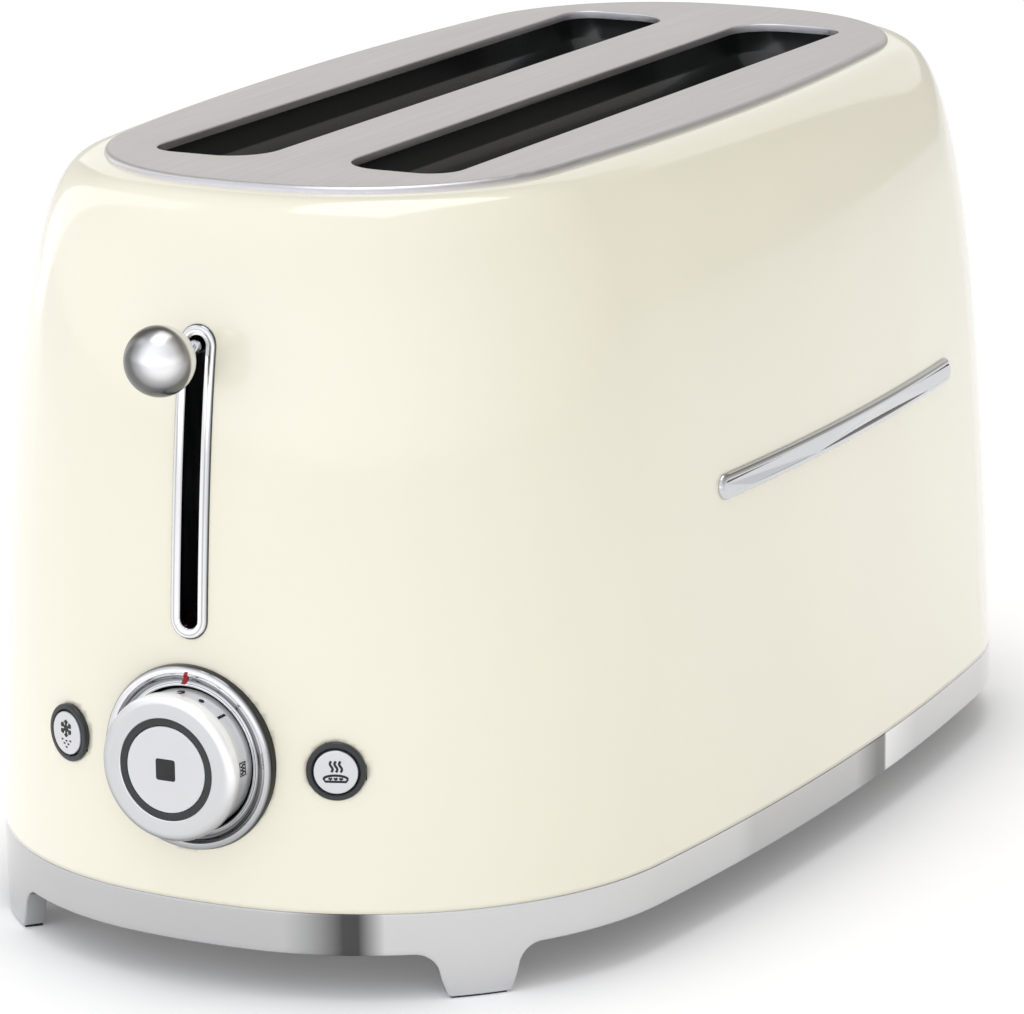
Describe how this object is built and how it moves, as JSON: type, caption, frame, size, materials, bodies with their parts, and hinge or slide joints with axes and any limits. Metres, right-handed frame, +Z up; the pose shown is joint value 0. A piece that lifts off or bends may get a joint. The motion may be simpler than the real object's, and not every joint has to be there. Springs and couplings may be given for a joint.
{
  "type": "pop up toaster",
  "caption": "Long-slot pop up toaster with a rounded cream shell, chrome base band, spring lever, browning knob, push buttons and a crumb tray.",
  "frame": {"origin": "on the resting surface, under the middle of the bounding box", "axes": "+X along the length with the lever and knob on the -X end, +Y to the plain long side, +Z up"},
  "size_m": [0.3944, 0.206, 0.208],
  "materials": {
    "cream_enamel": "glossy enamel",
    "brushed_plate": "brushed along its length",
    "chrome": "polished",
    "rubber": "matt",
    "black_plastic": "fine texture",
    "cord_rubber": "matt",
    "pale_plastic": "moulded",
    "steel_sheet": "galvanised sheet",
    "black_enamel": "gloss black",
    "mica": "flaky mica",
    "heater_ribbon": "dull heat-stained",
    "bright_steel": "bright wire",
    "iron": "plated",
    "copper": "enamelled wire",
    "board_green": "solder mask",
    "pot_case": "moulded",
    "relay_blue": "moulded",
    "transformer_yellow": "tape",
    "pointer_red": "gloss",
    "dark_ring": "gloss",
    "satin_chrome": "satin"
  },
  "bodies": {
    "housing": {"body_shell": "cream_enamel", "top_plate": "brushed_plate", "base_band": "chrome", "knob_bezel": "chrome", "lever_slot_bezel": "chrome", "side_trim_bar": "chrome", "foot_pads": "rubber", "bottom_cover": "black_plastic", "cord_wrap_posts": "black_plastic", "contact_block": "black_plastic", "button_switches": "black_plastic", "cord_gland": "cord_rubber", "terminal_block": "pale_plastic", "front_chassis_plate": "steel_sheet", "rear_chassis_plate": "steel_sheet", "left_heat_shield": "steel_sheet", "right_heat_shield": "steel_sheet", "centre_divider": "steel_sheet", "tray_rails": "steel_sheet", "mechanism_frame": "steel_sheet", "left_slot_liner": "black_enamel", "right_slot_liner": "black_enamel", "left_outer_heater_board": "mica", "left_inner_heater_board": "mica", "right_inner_heater_board": "mica", "right_outer_heater_board": "mica", "left_outer_heater_wire": "heater_ribbon", "left_inner_heater_wire": "heater_ribbon", "right_inner_heater_wire": "heater_ribbon", "right_outer_heater_wire": "heater_ribbon", "guide_rod": "bright_steel", "board_standoffs": "bright_steel", "cover_screws": "bright_steel", "return_spring": "bright_steel", "magnet_core": "iron", "magnet_coil": "copper", "control_board": "board_green", "potentiometer": "pot_case", "relay": "relay_blue", "transformer": "transformer_yellow", "pointer_mark": "pointer_red", "defrost_button_ring": "dark_ring", "bagel_button_ring": "dark_ring"},
    "lever_carriage": {"carriage_bracket": "steel_sheet", "lever_arm": "bright_steel", "lever_ball": "chrome", "armature_plate": "iron", "left_bread_rack": "bright_steel", "right_bread_rack": "bright_steel"},
    "browning_knob": {"knob_cap": "satin_chrome", "knob_shaft": "bright_steel"},
    "stop_key": {"stop_button": "satin_chrome"},
    "defrost_key": {"defrost_button": "satin_chrome"},
    "bagel_key": {"bagel_button": "satin_chrome"},
    "tray": {"crumb_tray": "steel_sheet", "crumb_tray_front": "chrome"},
    "left_outer_cage": {"left_outer_guide": "bright_steel"},
    "left_inner_cage": {"left_inner_guide": "bright_steel"},
    "right_inner_cage": {"right_inner_guide": "bright_steel"},
    "right_outer_cage": {"right_outer_guide": "bright_steel"}
  },
  "joints": [
    {"name": "lever_slide", "type": "slide", "parent": "housing", "child": "lever_carriage", "axis": [0, 0, 1], "range_m": [-0.07, 0], "stiffness_N_per_m": 60, "springref_m": 0.08, "deforming": ["return_spring"]},
    {"name": "browning_knob_turn", "type": "hinge", "parent": "housing", "child": "browning_knob", "pos_m": [-0.1817, 0, 0.062], "axis": [-1, 0, 0], "range_deg": [-160, 90]},
    {"name": "stop_press", "type": "slide", "parent": "housing", "child": "stop_key", "axis": [1, 0, 0], "range_m": [0, 0.002], "stiffness_N_per_m": 300, "springref_m": -0.002},
    {"name": "defrost_press", "type": "slide", "parent": "housing", "child": "defrost_key", "axis": [0.9304, -0.3666, 0], "range_m": [0, 0.0012], "stiffness_N_per_m": 300, "springref_m": -0.002},
    {"name": "bagel_press", "type": "slide", "parent": "housing", "child": "bagel_key", "axis": [0.9304, 0.3666, 0], "range_m": [0, 0.0012], "stiffness_N_per_m": 300, "springref_m": -0.002},
    {"name": "crumb_tray_slide", "type": "slide", "parent": "housing", "child": "tray", "axis": [1, 0, 0], "range_m": [0, 0.34]},
    {"name": "left_outer_cage_tilt", "type": "hinge", "parent": "housing", "child": "left_outer_cage", "pos_m": [0.0083, 0.0427, 0.04], "axis": [1, 0, 0], "range_deg": [0, 4.2]},
    {"name": "left_inner_cage_tilt", "type": "hinge", "parent": "housing", "child": "left_inner_cage", "pos_m": [0.0083, 0.0147, 0.04], "axis": [1, 0, 0], "range_deg": [-4.2, 0]},
    {"name": "right_outer_cage_tilt", "type": "hinge", "parent": "housing", "child": "right_outer_cage", "pos_m": [0.0083, -0.0427, 0.04], "axis": [1, 0, 0], "range_deg": [-4.2, 0]},
    {"name": "right_inner_cage_tilt", "type": "hinge", "parent": "housing", "child": "right_inner_cage", "pos_m": [0.0083, -0.0147, 0.04], "axis": [1, 0, 0], "range_deg": [0, 4.2]}
  ],
  "couplings": [
    {"joint": "left_outer_cage_tilt", "follows": "lever_slide", "rad_per_m": -1},
    {"joint": "left_inner_cage_tilt", "follows": "lever_slide", "rad_per_m": 1},
    {"joint": "right_outer_cage_tilt", "follows": "lever_slide", "rad_per_m": 1},
    {"joint": "right_inner_cage_tilt", "follows": "lever_slide", "rad_per_m": -1}
  ]
}
